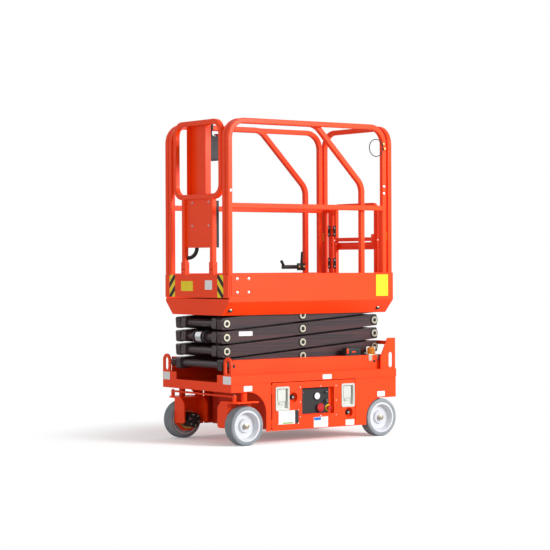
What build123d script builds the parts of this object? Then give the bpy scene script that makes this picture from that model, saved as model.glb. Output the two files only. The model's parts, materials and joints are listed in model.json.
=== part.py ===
# Compact electric slab scissor lift, lowered and parked.
# X points forwards (steered wheels), Y to the machine's left, Z up, origin on the
# ground below the middle of the chassis. Millimetres.

import math
import os
from build123d import *

os.makedirs("parts", exist_ok=True)

# Chassis sizes
chassis_length = 1300.0
chassis_width = 760.0
sheet = 5.0
skin_inset = 5.0
body_bottom = 79.0
band_bottom = 379.0
ledge_top = 430.0
deck_plate_z = 370.0
slide_top = 520.0
slide_web_y = 340.0
slide_flange_in_y = 268.0
front_channel_bottom = 326.0
front_notch_z = 383.0
corner_post_width = 153.0
door_front_x = 344.0
door_rear_x = -310.0
door_gap = 5.0
rear_plate_bottom = 247.0
gusset_top = 628.0
gusset_length = 62.0
gusset_foot_length = 120.0
lug_top = 540.0
lug_width = 82.0
lug_thickness = 10.0
bulkhead_front_x = 300.0
bulkhead_rear_x = -400.0
spine_half = 70.0

# Wheels and steering
tyre_diameter = 240.0
tyre_width = 80.0
rim_diameter = 192.0
dish_diameter = 146.0
dish_depth = 38.0
hub_diameter = 88.0
spindle_diameter = 30.0
running_clearance = 0.05
front_axle_x = 530.0
rear_axle_x = -530.0
wheel_y = 340.0
arch_clearance = 7.0
front_arch_radius = 135.0
front_arch_corner_x = 520.0
fork_plate = 10.0
fork_top_z = 268.0
fork_web_y = 292.0
fork_flange_in_y = 185.0
fork_half_length = 90.0
fork_bottom_z = 48.0
fork_chamfer = 55.0
king_pin_diameter = 24.0
king_housing_diameter = 40.0
steer_arm = 70.0
tie_bar_width = 26.0
tie_bar_thickness = 10.0
tie_bar_z = 295.0
tie_pin_diameter = 16.0
motor_diameter = 92.0
motor_end_y = 200.0

# Scissor stack
stages = 4
arm_length = 1169.0
pin_pitch = 85.0
first_pin_z = 487.0
rear_pin_x = -568.0
arm_height = 72.0
arm_width = 50.0
inner_arm_y = 170.0
outer_arm_y = 230.0
arm_front_overhang = 35.0
arm_rear_overhang = 25.0
arm_end_chamfer = 8.0
pin_diameter = 40.0
pin_head_diameter = 46.0
pin_head_thickness = 7.0
cross_tube_diameter = 48.0
slide_roller_diameter = 54.0

# Lift cylinder
cylinder_mount_along_arm = 60.0
barrel_diameter = 80.0
barrel_bore = 60.0
rod_diameter = 44.0
barrel_start = 55.0
barrel_end = 1010.0
gland_length = 28.0
piston_start = 66.0
piston_length = 18.0
eye_diameter = 84.0
eye_width = 60.0
rod_eye_width = 92.0
lane_half = 50.0

# Platform
platform_length = 1298.0
platform_half_width = 351.0
toe_bottom = 876.0
toe_top = 1049.0
toe_sheet = 4.0
toe_flange = 35.0
skirt_bottom = 792.0
skirt_bottom_half = 272.0
floor_top = 893.0
floor_sheet = 5.0
extension_floor_top = 905.0
extension_floor_half = 308.0
extension_floor_rear_x = -455.0
platform_slide_half_height = 30.0
platform_slide_in_y = 95.0
platform_slide_out_y = 139.0

# Guard rails
rail_tube = 32.0
rail_corner = 5.0
rail_bend = 110.0
rail_top = 2000.0
mid_rail_top = 1480.0
rail_gap = 6.0
main_post_front_x = 631.0
main_post_rear_x = -581.0
extension_post_rear_x = -432.0
extension_top_rear_x = -60.0
extension_drop_x = -390.0
extension_drop_z = 1610.0
rear_rail_x = -626.0
gate_half = 222.0
gate_top = 1505.0
gate_lower_top = 1280.0
gate_tube = 25.0
gate_post_y = 265.0
gate_hinge_offset = 10.0
gate_hinge_zs = (1300.0, 1440.0)
gate_hinge_height = 30.0
gate_hinge_radius = 7.0
front_loop_half = 266.0
front_loop_bottom = 1510.0
front_loop_bend = 75.0
front_leg_y = 155.0
front_rail_x = 626.0
fold_pin_z = 1100.0

# Console, tower and box on the folding front rail
tower_half = 105.0
tower_sheet = 4.0
panel_half = 139.0
panel_bottom = 1210.0
cable_box_half = 130.0
cable_box_bottom = 1190.0
cable_box_depth = 62.0
console_depth = 150.0
console_bottom = 1757.0
console_top = 1900.0
console_half = 100.0


def block(x, y, z):
    """A box between two corners, each direction given as (low, high)."""
    size = Box(x[1] - x[0], y[1] - y[0], z[1] - z[0])
    return Pos((x[0] + x[1]) / 2, (y[0] + y[1]) / 2, (z[0] + z[1]) / 2) * size


def plate_xz(outline, y):
    """A plate with an outline in the XZ plane, between two Y values."""
    face = make_face(Polyline(*[(px, y[0], pz) for px, pz in outline], close=True))
    return extrude(face, amount=y[1] - y[0], dir=(0, 1, 0))


def plate_yz(outline, x):
    """A plate with an outline in the YZ plane, between two X values."""
    face = make_face(Polyline(*[(x[0], py, pz) for py, pz in outline], close=True))
    return extrude(face, amount=x[1] - x[0], dir=(1, 0, 0))


def plate_xy(outline, z):
    """A plate with an outline in the XY plane, between two Z values."""
    face = make_face(Polyline(*[(px, py, z[0]) for px, py in outline], close=True))
    return extrude(face, amount=z[1] - z[0], dir=(0, 0, 1))


def rod_y(radius, x, z, y):
    """A round bar along Y between two Y values."""
    return Pos(x, (y[0] + y[1]) / 2, z) * Rot(90, 0, 0) * Cylinder(radius, y[1] - y[0])


def rod_x(radius, y, z, x):
    """A round bar along X between two X values."""
    return Pos((x[0] + x[1]) / 2, y, z) * Rot(0, 90, 0) * Cylinder(radius, x[1] - x[0])


def rod_z(radius, x, y, z):
    """A round bar along Z between two Z values."""
    return Pos(x, y, (z[0] + z[1]) / 2) * Cylinder(radius, z[1] - z[0])


def mirrored(shape):
    """The same piece on the other side of the machine."""
    return mirror(shape, about=Plane.XZ)


def both(shape):
    """A piece and its mirror image, as two solids of one node."""
    return Compound(children=[*shape.solids(), *mirrored(shape).solids()])


def tube(points, radii, across, side=rail_tube, corner=rail_corner):
    """A bent square tube along a path, with one side of its section along across."""
    path = FilletPolyline(*points, radius=radii)
    start = Plane(origin=path @ 0, x_dir=across, z_dir=path % 0)
    section = start * RectangleRounded(side, side, corner)
    return sweep(section, path=path).solid()


def straight_tube(start, end, across, side=rail_tube, corner=rail_corner):
    """A straight square tube from start to end."""
    run = Vector(*end) - Vector(*start)
    section = Plane(origin=start, x_dir=across, z_dir=run) * RectangleRounded(side, side, corner)
    return extrude(section, amount=run.length).solid()


def save(shape, name):
    """Write one sub-part."""
    export_step(shape, f"parts/{name}.step")


half_length = chassis_length / 2
half_width = chassis_width / 2
skin_y = half_width - skin_inset

# Base frame: floor, bulkheads, spine webs, rear axle plates with their spindles
axle_z = tyre_diameter / 2
wheel_in_y = wheel_y - tyre_width / 2
rear_axle_plate_y = wheel_in_y - 18.0
frame_half = slide_web_y - sheet
spindle_end_y = wheel_y + tyre_width / 2 - 12.0


def base_frame():
    floor = block((bulkhead_rear_x, bulkhead_front_x), (-frame_half, frame_half),
                  (body_bottom, body_bottom + sheet))
    bulkheads = [
        block((x, x + sheet), (-frame_half, frame_half), (body_bottom, deck_plate_z))
        for x in (bulkhead_rear_x, bulkhead_front_x - sheet)
    ]
    body = floor + bulkheads[0] + bulkheads[1]
    for side in (-1, 1):
        web_low = side * spine_half - sheet / 2
        body += block((bulkhead_rear_x, bulkhead_front_x), (web_low, web_low + sheet),
                      (body_bottom, deck_plate_z))
        axle_low = min(side * rear_axle_plate_y, side * (rear_axle_plate_y - 2 * sheet))
        axle_plate = plate_xz([
            (bulkhead_rear_x, body_bottom),
            (rear_axle_x + 40, axle_z - 45),
            (rear_axle_x - 40, axle_z - 45),
            (rear_axle_x - 70, deck_plate_z),
            (bulkhead_rear_x, deck_plate_z),
        ], (axle_low, axle_low + 2 * sheet))
        body += axle_plate
        spindle_y = sorted((side * (rear_axle_plate_y - 2 * sheet), side * spindle_end_y))
        body += rod_y(spindle_diameter / 2, rear_axle_x, axle_z, spindle_y)
    return body


# Upper frame: deck plate, the two slide channels, the side bands
pin_bracket_radius = 28.0
pin_bracket_x = (rear_pin_x - pin_bracket_radius, rear_pin_x + pin_bracket_radius)
slide_floor_z = first_pin_z - slide_roller_diameter / 2 - 0.3


def upper_frame():
    body = block((-half_length + sheet, half_length - sheet), (-frame_half, frame_half),
                 (deck_plate_z, deck_plate_z + sheet))
    for side in (-1, 1):
        def span(a, b):
            return tuple(sorted((side * a, side * b)))
        slide_x = (rear_pin_x - 30, half_length - 40)
        body += block(slide_x, span(frame_half, slide_web_y), (deck_plate_z, slide_top))
        body += block(slide_x, span(slide_flange_in_y, slide_web_y), (slide_top - sheet, slide_top))
        body += block(slide_x, span(slide_flange_in_y, slide_web_y),
                      (slide_floor_z - sheet, slide_floor_z))
        band_x = (-half_length, half_length - sheet)
        body += block(band_x, span(slide_web_y, half_width), (ledge_top - sheet, ledge_top))
        body += block(band_x, span(half_width - sheet, half_width), (band_bottom, ledge_top))
        body += block(band_x, span(slide_web_y, half_width), (band_bottom, band_bottom + sheet))
        body += block((slide_x[0], slide_x[1]), span(frame_half, slide_web_y),
                      (deck_plate_z, ledge_top))
        inner_plate = span(inner_arm_y - arm_width / 2 - 17, inner_arm_y - arm_width / 2 - 5)
        outer_plate = span(inner_arm_y + arm_width / 2 + 5, inner_arm_y + arm_width / 2 + 15)
        for plate_y in (inner_plate, outer_plate):
            body += block(pin_bracket_x, plate_y, (deck_plate_z, first_pin_z))
            body += rod_y(pin_bracket_radius, rear_pin_x, first_pin_z, plate_y)
        body += rod_y(pin_diameter / 2 - running_clearance, rear_pin_x, first_pin_z,
                      (min(inner_plate[0], outer_plate[0]), max(inner_plate[1], outer_plate[1])))
    return body


# Side plates: the front pieces with the steered wheel arches, the rear pieces
hinge_radius = 4.0
hinge_zs = (110.0, 320.0)
hinge_knuckle = 30.0


def side_plates():
    skin = (skin_y - sheet, skin_y)
    edge_x = door_front_x + door_gap
    arch_z = front_channel_bottom - front_arch_radius
    corner_x = front_arch_corner_x
    front = block((edge_x, half_length - sheet), skin, (body_bottom, band_bottom))
    front -= rod_y(front_arch_radius, corner_x, arch_z, (skin[0] - 1, skin[1] + 1))
    front -= block((corner_x, half_length), (skin[0] - 1, skin[1] + 1),
                   (body_bottom - 1, front_channel_bottom))
    front -= block((corner_x - front_arch_radius, half_length), (skin[0] - 1, skin[1] + 1),
                   (body_bottom - 1, arch_z))
    arch = tyre_diameter / 2 + arch_clearance
    rear = block((-half_length, door_rear_x - door_gap), skin, (body_bottom, band_bottom))
    rear -= rod_y(arch, rear_axle_x, axle_z, (skin[0] - 1, skin[1] + 1))
    rear -= block((-half_length - 1, rear_axle_x), (skin[0] - 1, skin[1] + 1),
                  (body_bottom - 1, rear_plate_bottom))
    rear -= block((-half_length - 1, rear_axle_x + arch), (skin[0] - 1, skin[1] + 1),
                  (body_bottom - 1, axle_z))
    for z in hinge_zs:
        for low in (z - 10, z + hinge_knuckle + 0.1):
            front += rod_z(hinge_radius, door_front_x, skin_y, (low, low + 9.9))
            front += block((door_front_x, edge_x + 1), (skin_y - 2, skin_y), (low, low + 9.9))
    return front, rear


# Front channel: face plate with its corner posts, lugs, bottom plate and king pin tubes
king_bore = king_pin_diameter / 2
king_housing_bottom = fork_top_z + 7.0


def lug():
    """A flat lug with a round top and an upright oval hole, standing on the corner."""
    low_y = half_width - lug_width
    radius = lug_width / 2
    centre_y = half_width - radius
    body = block((half_length - lug_thickness, half_length), (low_y, half_width),
                 (ledge_top, lug_top - radius))
    body += rod_x(radius, centre_y, lug_top - radius, (half_length - lug_thickness, half_length))
    slot = (block((half_length - 20, half_length + 1), (centre_y - 20, centre_y + 20),
                  (ledge_top + 25, lug_top - radius))
            + rod_x(20, centre_y, lug_top - radius, (half_length - 20, half_length + 1))
            + rod_x(20, centre_y, ledge_top + 27, (half_length - 20, half_length + 1)))
    return body - slot


def front_channel():
    body = block((half_length - sheet, half_length), (-half_width, half_width),
                 (front_channel_bottom, front_notch_z))
    body += block((front_axle_x - 60, half_length - sheet), (-skin_y + sheet, skin_y - sheet),
                  (front_channel_bottom, front_channel_bottom + sheet))
    for side in (-1, 1):
        post = sorted((side * half_width, side * (half_width - corner_post_width)))
        body += block((half_length - sheet, half_length), post, (front_channel_bottom, ledge_top))
        housing = rod_z(king_housing_diameter / 2, front_axle_x, side * wheel_y,
                        (king_housing_bottom, front_channel_bottom))
        body += housing
        body -= rod_z(king_bore, front_axle_x, side * wheel_y,
                      (king_housing_bottom - 1, front_channel_bottom + sheet + 1))
    near = lug()
    return body + near + mirrored(near)


# Rear frame: rear plate, gussets with oval holes, cross bar
def rear_frame():
    body = block((-half_length, -half_length + sheet), (-skin_y + sheet, skin_y - sheet),
                 (rear_plate_bottom, band_bottom))
    body += block((-half_length, -half_length + sheet), (-slide_web_y, slide_web_y),
                  (band_bottom, ledge_top))
    for side in (-1, 1):
        gusset_y = sorted((side * (half_width - 10), side * (half_width - 18)))
        gusset = plate_xz([
            (-half_length, ledge_top),
            (-half_length + gusset_foot_length, ledge_top),
            (-half_length + gusset_foot_length, slide_top - 10),
            (-half_length + gusset_length, gusset_top),
            (-half_length, gusset_top),
        ], gusset_y)
        hole_x = -half_length + 38
        gusset -= block((hole_x - 17, hole_x + 17), (gusset_y[0] - 1, gusset_y[1] + 1), (455, 520))
        gusset -= rod_y(17, hole_x, 455, (gusset_y[0] - 1, gusset_y[1] + 1))
        gusset -= rod_y(17, hole_x, 520, (gusset_y[0] - 1, gusset_y[1] + 1))
        body += gusset
    bar_y = half_width - 10
    body += block((-half_length, -half_length + 25), (-bar_y, bar_y), (583, 606))
    return body


# Doors: swing-out trays, one on each side
door_x = (door_rear_x, door_front_x - door_gap)
door_z = (body_bottom, band_bottom - door_gap)
latch_size = (62.0, 128.0)
latch_places = ((290.0, 275.0), (-265.0, 275.0))


def door():
    body = block(door_x, (skin_y - sheet, skin_y), door_z)
    for z in hinge_zs:
        body += rod_z(hinge_radius, door_front_x, skin_y, (z, z + hinge_knuckle))
        body += block((door_x[1] - 2, door_front_x), (skin_y - 2, skin_y), (z, z + hinge_knuckle))
    body += block((-205, 290), (spine_half + 15, skin_y - sheet), (body_bottom + 11, body_bottom + 16))
    return body


def tray_load(top):
    return block((-195, 280), (spine_half + 20, skin_y - sheet - 25), (body_bottom + 16, top))


# Steered knuckles, with their drive motors
def knuckle():
    flange_x = (front_axle_x - fork_half_length, front_axle_x + fork_half_length)
    web_y = (fork_web_y - fork_plate, fork_web_y)
    plate_z = (fork_top_z - fork_plate, fork_top_z)
    outline = [
        (flange_x[0], fork_top_z), (flange_x[1], fork_top_z),
        (flange_x[1], fork_bottom_z + fork_chamfer),
        (flange_x[1] - fork_chamfer, fork_bottom_z),
        (flange_x[0] + fork_chamfer, fork_bottom_z),
        (flange_x[0], fork_bottom_z + fork_chamfer),
    ]
    body = plate_xz(outline, web_y)
    for x in (flange_x[0], flange_x[1] - fork_plate):
        body += plate_yz([
            (fork_web_y, fork_top_z), (fork_flange_in_y + 40, fork_top_z),
            (fork_flange_in_y, fork_top_z - 40),
            (fork_flange_in_y, fork_bottom_z + fork_chamfer + 10),
            (fork_flange_in_y + 12, fork_bottom_z + fork_chamfer),
            (fork_web_y, fork_bottom_z + fork_chamfer),
        ], (x, x + fork_plate))
    top = plate_xy([
        (flange_x[0], fork_flange_in_y + 40), (flange_x[1], fork_flange_in_y + 40),
        (flange_x[1], wheel_y + 12), (flange_x[1] - 20, wheel_y + 32),
        (flange_x[0], wheel_y + 32),
    ], plate_z)
    body += top
    body += rod_z(king_bore - running_clearance, front_axle_x, wheel_y,
                  (fork_top_z - fork_plate, front_channel_bottom + sheet))
    body += rod_z(king_housing_diameter / 2, front_axle_x, wheel_y,
                  (fork_top_z, king_housing_bottom - 0.3))
    body += rod_z(tie_pin_diameter / 2, front_axle_x + steer_arm, wheel_y,
                  (fork_top_z, tie_bar_z + tie_bar_thickness + 5))
    body += rod_z(tie_pin_diameter / 2 + 4, front_axle_x + steer_arm, wheel_y,
                  (fork_top_z, tie_bar_z - 0.3))
    body += rod_y(spindle_diameter / 2, front_axle_x, axle_z, (fork_web_y, spindle_end_y))
    return body


def drive_motor():
    body = rod_y(motor_diameter / 2, front_axle_x, axle_z, (motor_end_y, fork_web_y - fork_plate))
    return body


def tie_bar():
    end = wheel_y + tie_bar_width / 2
    x = front_axle_x + steer_arm
    z = (tie_bar_z, tie_bar_z + tie_bar_thickness)
    body = block((x - tie_bar_width / 2, x + tie_bar_width / 2), (-wheel_y, wheel_y), z)
    for y in (-wheel_y, wheel_y):
        body += rod_z(tie_bar_width / 2, x, y, z)
        body -= rod_z(tie_pin_diameter / 2 + running_clearance, x, y, (z[0] - 1, z[1] + 1))
    return body


# Wheels: solid grey tyre on a deep-dished rim
def tyre(x, side):
    half = tyre_width / 2
    outer = tyre_diameter / 2
    inner = rim_diameter / 2
    shoulder = 10.0
    outline = Polyline(
        (inner, -half + 2), (inner + 4, -half), (outer - shoulder, -half), (outer - 3, -half + 3),
        (outer, -half + shoulder), (outer, half - shoulder), (outer - 3, half - 3),
        (outer - shoulder, half), (inner + 4, half), (inner, half - 2), close=True)
    ring = revolve(make_face(outline.edges()), axis=Axis.Y)
    return Pos(x, side * wheel_y, axle_z) * ring


def rim(x, side):
    half = tyre_width / 2
    lip = rim_diameter / 2
    dish = dish_diameter / 2
    hub = hub_diameter / 2
    bore = spindle_diameter / 2 + running_clearance
    floor_y = half - dish_depth
    outline = Polyline(
        (bore, -half + 12), (hub, -half + 12), (hub, -half + 20), (lip - 14, -half + 20),
        (lip - 8, -half + 2), (lip, -half + 2), (lip, half - 2), (lip - 12, half - 2),
        (dish, floor_y), (hub, floor_y), (hub - 6, floor_y + 14), (bore + 8, floor_y + 14),
        (bore, floor_y + 14), close=True)
    ring = revolve(make_face(outline.edges()), axis=Axis.Y)
    if side < 0:
        ring = mirrored(ring)
    return Pos(x, side * wheel_y, axle_z) * ring


# Scissor arms
rise = math.asin(pin_pitch / arm_length)
reach = arm_length * math.cos(rise)
front_pin_x = rear_pin_x + reach
centre_pin_x = rear_pin_x + reach / 2


def level_z(level):
    """Height of a row of end pins, 0 at the chassis and 4 at the platform."""
    return first_pin_z + pin_pitch * level


def arm(stage, y, up_to_front):
    """One box arm of a stage, bored for its end and centre pins."""
    low = level_z(stage - 1)
    high = level_z(stage)
    rear_z, front_z = (low, high) if up_to_front else (high, low)
    slope = math.degrees(math.atan2(front_z - rear_z, reach))
    start = -arm_rear_overhang
    end = arm_length + arm_front_overhang
    h = arm_height / 2
    c = arm_end_chamfer
    outline = [(start + c, -h), (end - c, -h), (end, -h + c), (end, h - c),
               (end - c, h), (start + c, h), (start, h - c), (start, -h + c)]
    body = plate_xz(outline, (y - arm_width / 2, y + arm_width / 2))
    place = Pos(rear_pin_x, 0, rear_z) * Rot(0, -slope, 0)
    return place * body


def pin_holes(stage, y, up_to_front):
    """The three bores through one arm, a little larger than the pins."""
    low = level_z(stage - 1)
    high = level_z(stage)
    rear_z, front_z = (low, high) if up_to_front else (high, low)
    radius = pin_diameter / 2
    span = (y - arm_width / 2 - 1, y + arm_width / 2 + 1)
    return [rod_y(radius, rear_pin_x, rear_z, span),
            rod_y(radius, centre_pin_x, (low + high) / 2, span),
            rod_y(radius, front_pin_x, front_z, span)]


def inner_frame(stage):
    """Two inner arms welded to their cross tubes."""
    inner_face = inner_arm_y - arm_width / 2
    arms = arm(stage, inner_arm_y, True)
    for hole in pin_holes(stage, inner_arm_y, True):
        arms -= hole
    body = arms + mirrored(arms)
    low, high = level_z(stage - 1), level_z(stage)
    radius = cross_tube_diameter / 2
    if stage == 1:
        mount_x = rear_pin_x + cylinder_mount_along_arm * math.cos(rise)
        mount_z = low + cylinder_mount_along_arm * math.sin(rise)
        body += rod_y(radius, mount_x, mount_z, (-inner_face, inner_face))
    else:
        body += rod_y(radius, rear_pin_x, low, (-inner_face, inner_face))
    if stage in (1, 3):
        body += rod_y(radius, front_pin_x, high, (-inner_face, inner_face))
    if stage == 2:
        for side in (-1, 1):
            stub = sorted((side * lane_half, side * inner_face))
            body += rod_y(radius, front_pin_x, high, stub)
            ear = sorted((side * lane_half, side * (lane_half + 12)))
            body += rod_y(eye_diameter / 2, front_pin_x, high, ear)
    if stage == stages:
        block_y = (platform_slide_in_y + 8, platform_slide_out_y - 2)
        for side in (-1, 1):
            stub = sorted((side * block_y[0], side * (inner_face + arm_width)))
            body += rod_y(pin_diameter / 2, front_pin_x, high, stub)
            body += rod_y(slide_roller_diameter / 2, front_pin_x, high,
                          sorted((side * block_y[0], side * block_y[1])))
    return body


def outer_arms(stage):
    """The outer pair of a stage; the lowest pair also has the sliding shaft."""
    near = arm(stage, outer_arm_y, False)
    for hole in pin_holes(stage, outer_arm_y, False):
        near -= hole
    if stage == 1:
        outer_face = outer_arm_y + arm_width / 2
        inner_face = outer_arm_y - arm_width / 2
        near += rod_y(pin_diameter / 2, front_pin_x, first_pin_z, (inner_face, outer_face + 20))
        near += rod_y(slide_roller_diameter / 2, front_pin_x, first_pin_z,
                      (slide_flange_in_y + 6, frame_half - 6))
        near += rod_y(pin_diameter / 2, front_pin_x, first_pin_z,
                      (inner_face, slide_flange_in_y + 8))
        shaft = rod_y(cross_tube_diameter / 2, front_pin_x, first_pin_z, (-inner_face, inner_face))
        return near + mirrored(near) + shaft
    return both(near)


def stage_pins(stage):
    """The pins that an outer pair carries: front, centre and rear, both sides."""
    radius = pin_diameter / 2 - running_clearance
    inner_end = inner_arm_y - arm_width / 2 + 2
    face = outer_arm_y + arm_width / 2
    places = [(centre_pin_x, (level_z(stage - 1) + level_z(stage)) / 2)]
    if stage > 1:
        places.append((front_pin_x, level_z(stage - 1)))
    if stage < stages:
        places.append((rear_pin_x, level_z(stage)))
    solids = []
    for x, z in places:
        pin = rod_y(radius, x, z, (inner_end, face))
        pin += rod_y(pin_head_diameter / 2, x, z, (face, face + pin_head_thickness))
        solids += [*pin.solids(), *mirrored(pin).solids()]
    return Compound(children=solids)


# Lift cylinder, from the lowest inner frame to the second one's front shaft
mount_x = rear_pin_x + cylinder_mount_along_arm * math.cos(rise)
mount_z = level_z(0) + cylinder_mount_along_arm * math.sin(rise)
cylinder_length = math.hypot(front_pin_x - mount_x, level_z(2) - mount_z)
cylinder_slope = math.degrees(math.atan2(level_z(2) - mount_z, front_pin_x - mount_x))
cylinder_place = Pos(mount_x, 0, mount_z) * Rot(0, -cylinder_slope, 0)


def lift_barrel():
    body = rod_x(barrel_diameter / 2, 0, 0, (barrel_start, barrel_end))
    body += rod_y(eye_diameter / 2, 0, 0, (-eye_width / 2, eye_width / 2))
    body += block((0, barrel_start + 4), (-eye_width / 2, eye_width / 2), (-28, 28))
    body -= rod_y(cross_tube_diameter / 2 + running_clearance, 0, 0,
                  (-eye_width / 2 - 1, eye_width / 2 + 1))
    body -= rod_x(barrel_bore / 2, 0, 0, (barrel_start + 8, barrel_end - gland_length))
    body -= rod_x(rod_diameter / 2, 0, 0, (barrel_end - gland_length - 1, barrel_end + 1))
    return cylinder_place * body


def lift_rod():
    eye_start = cylinder_length - eye_diameter / 2 + 6
    body = rod_x(rod_diameter / 2 - running_clearance, 0, 0, (piston_start, eye_start))
    body += rod_x(barrel_bore / 2 - running_clearance, 0, 0,
                  (piston_start, piston_start + piston_length))
    body += rod_y(eye_diameter / 2, cylinder_length, 0, (-eye_width / 2, eye_width / 2))
    body += rod_y(cross_tube_diameter / 2, cylinder_length, 0,
                  (-rod_eye_width / 2, rod_eye_width / 2))
    return cylinder_place * body


# Platform: floor, toe boards, sloping skirt, brackets and slide channels below
platform_x = (-platform_length / 2, platform_length / 2)
toe_front_x = platform_x[1] - 8.0


def platform_frame():
    body = block((platform_x[0], toe_front_x), (-platform_half_width + toe_sheet,
                 platform_half_width - toe_sheet), (floor_top - floor_sheet, floor_top))
    y = platform_half_width
    for side in (-1, 1):
        section = [(y, toe_top), (y, toe_bottom), (skirt_bottom_half, skirt_bottom),
                   (skirt_bottom_half - toe_sheet, skirt_bottom + 2),
                   (y - toe_sheet, toe_bottom + 3), (y - toe_sheet, toe_top - toe_sheet),
                   (y - toe_flange, toe_top - toe_sheet), (y - toe_flange, toe_top)]
        body += plate_yz([(side * py, pz) for py, pz in section], (platform_x[0], toe_front_x))
        outer = tuple(sorted((side * (outer_arm_y + 30), side * (outer_arm_y + 38))))
        inner = tuple(sorted((side * (outer_arm_y - 32), side * (outer_arm_y - 42))))
        for bracket in (outer, inner):
            body += block(pin_bracket_x, bracket, (level_z(4) - 30, floor_top - floor_sheet))
        body += rod_y(pin_diameter / 2 - running_clearance, rear_pin_x, level_z(4),
                      (min(outer[0], inner[0]), max(outer[1], inner[1])))
        half = platform_slide_half_height
        slide = (20, front_pin_x + 35)
        web = sorted((side * platform_slide_in_y, side * (platform_slide_in_y + sheet)))
        flange = sorted((side * platform_slide_in_y, side * platform_slide_out_y))
        body += block(slide, web, (level_z(4) - half - sheet, floor_top - floor_sheet))
        body += block(slide, flange, (level_z(4) + half, level_z(4) + half + sheet))
        body += block(slide, flange, (level_z(4) - half - sheet, level_z(4) - half))
    trapezoid = [(-y, toe_bottom), (-skirt_bottom_half, skirt_bottom),
                 (skirt_bottom_half, skirt_bottom), (y, toe_bottom),
                 (y - toe_sheet, floor_top), (-y + toe_sheet, floor_top)]
    for x in (platform_x[0], toe_front_x):
        body += plate_yz(trapezoid, (x, x + toe_sheet))
    body += block((platform_x[0], platform_x[0] + toe_sheet), (gate_post_y - 20, y),
                  (floor_top, toe_top))
    body += block((platform_x[0], platform_x[0] + toe_sheet), (-y, -gate_post_y + 20),
                  (floor_top, toe_top))
    return body


rail_centre_top = rail_top - rail_tube / 2
mid_rail_z = mid_rail_top - rail_tube / 2
main_rail_y = platform_half_width - rail_tube / 2
extension_rail_y = main_rail_y - rail_tube - rail_gap


def main_side_rail():
    y = main_rail_y
    hoop = tube([(main_post_front_x, y, toe_top), (main_post_front_x, y, rail_centre_top),
                 (main_post_rear_x, y, rail_centre_top), (main_post_rear_x, y, toe_top)],
                [rail_bend, rail_bend], (0, 1, 0))
    middle = straight_tube((main_post_front_x, y, mid_rail_z), (main_post_rear_x, y, mid_rail_z),
                           (0, 1, 0))
    return hoop + middle


def extension_side_rail():
    y = extension_rail_y
    foot = extension_floor_top
    hoop = tube([(main_post_front_x, y, toe_top - 5), (main_post_front_x, y, rail_centre_top),
                 (extension_top_rear_x, y, rail_centre_top),
                 (extension_post_rear_x, y, extension_drop_z),
                 (extension_post_rear_x, y, foot)],
                [rail_bend, rail_bend, rail_bend], (0, 1, 0))
    middle = straight_tube((main_post_front_x, y, mid_rail_z),
                           (extension_post_rear_x, y, mid_rail_z), (0, 1, 0))
    return hoop + middle


gate_hinge_y = -gate_half - gate_hinge_offset


def rear_rail():
    y = main_rail_y
    body = tube([(rear_rail_x, -y, toe_top), (rear_rail_x, -y, rail_centre_top),
                 (rear_rail_x, y, rail_centre_top), (rear_rail_x, y, toe_top)],
                [rail_bend, rail_bend], (1, 0, 0))
    for side in (-1, 1):
        post_y = side * gate_post_y
        body += straight_tube((rear_rail_x, post_y - side * rail_tube / 2, mid_rail_z),
                              (rear_rail_x, side * y, mid_rail_z), (1, 0, 0))
        body += straight_tube((rear_rail_x, post_y, floor_top), (rear_rail_x, post_y, mid_rail_z),
                              (1, 0, 0))
    post_face = -gate_post_y + rail_tube / 2
    for z in gate_hinge_zs:
        for low in (z - 10, z + gate_hinge_height + 0.3):
            knuckle_z = (low, low + 9.7)
            body += block((rear_rail_x - 4, rear_rail_x + 4), (post_face - 2, gate_hinge_y),
                          knuckle_z)
            body += rod_z(gate_hinge_radius, rear_rail_x, gate_hinge_y, knuckle_z)
    return body




def gate():
    half = gate_half
    t = gate_tube
    loop = [(rear_rail_x, -half + t / 2, gate_lower_top - t / 2),
            (rear_rail_x, -half + t / 2, gate_top - t / 2),
            (rear_rail_x, half - t / 2, gate_top - t / 2),
            (rear_rail_x, half - t / 2, gate_lower_top - t / 2)]
    body = tube(loop, [30.0, 30.0], (1, 0, 0), t)
    body += straight_tube(loop[0], loop[3], (1, 0, 0), t)
    for z in gate_hinge_zs:
        knuckle_z = (z, z + gate_hinge_height)
        body += block((rear_rail_x - 4, rear_rail_x + 4), (gate_hinge_y, -half + 4), knuckle_z)
        body += rod_z(gate_hinge_radius, rear_rail_x, gate_hinge_y, knuckle_z)
    return body


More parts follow.
